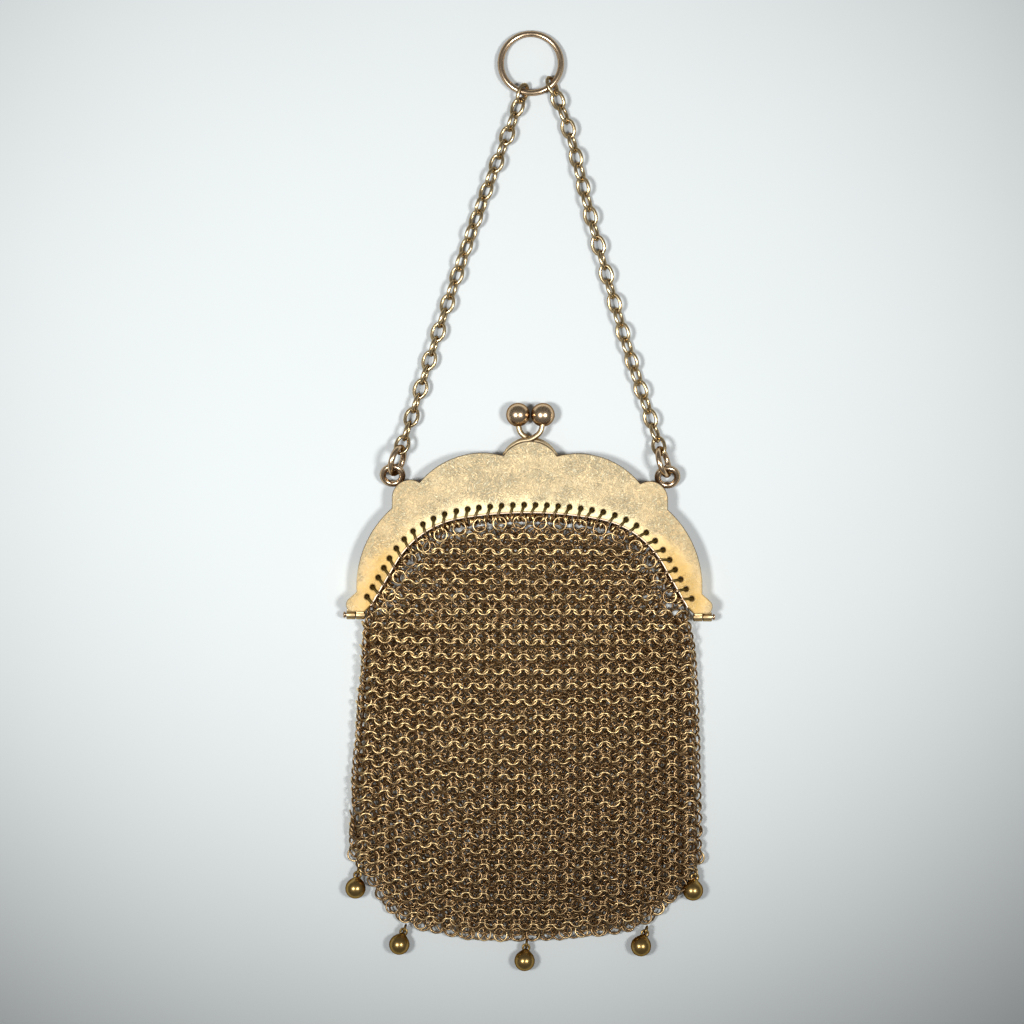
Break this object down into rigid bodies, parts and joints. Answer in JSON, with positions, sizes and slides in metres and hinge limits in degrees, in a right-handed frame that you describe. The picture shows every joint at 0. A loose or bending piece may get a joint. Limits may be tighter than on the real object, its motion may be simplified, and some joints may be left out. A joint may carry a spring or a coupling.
{
  "type": "metal mesh purse",
  "caption": "Small metal mesh purse with an arched, scalloped two-part frame, ball clasp, carrying chain with a ring, and ball drops along the bottom edge.",
  "frame": {"origin": "on the flat back face of the frame, on its centre line and level with the centres of the two chain lugs", "axes": "+X to the right, +Y from the bag towards the carrying ring, +Z out of the front face; the purse lies on its back"},
  "size_m": [0.0892, 0.2261, 0.0074],
  "materials": {
    "frame_gold": "engraved, satin yellow gold",
    "chain_gold": "polished, worn yellow gold",
    "rose_gold": "polished rose gold",
    "mesh_gold": "worn gilt wire, darkened between the rings",
    "drop_gold": "polished, darkened gold"
  },
  "bodies": {
    "root": {"frame_back": "frame_gold", "frame_front": "frame_gold", "hinge_pin_left": "rose_gold", "hinge_pin_right": "rose_gold", "jump_ring_left": "rose_gold", "jump_ring_right": "rose_gold", "chain_left": "chain_gold", "chain_right": "chain_gold", "carrying_ring": "rose_gold", "mesh_bag": "mesh_gold", "drop_1": "drop_gold", "drop_ring_1": "mesh_gold", "drop_2": "drop_gold", "drop_ring_2": "mesh_gold", "drop_3": "drop_gold", "drop_ring_3": "mesh_gold", "drop_4": "drop_gold", "drop_ring_4": "mesh_gold", "drop_5": "drop_gold", "drop_ring_5": "mesh_gold"}
  },
  "joints": []
}
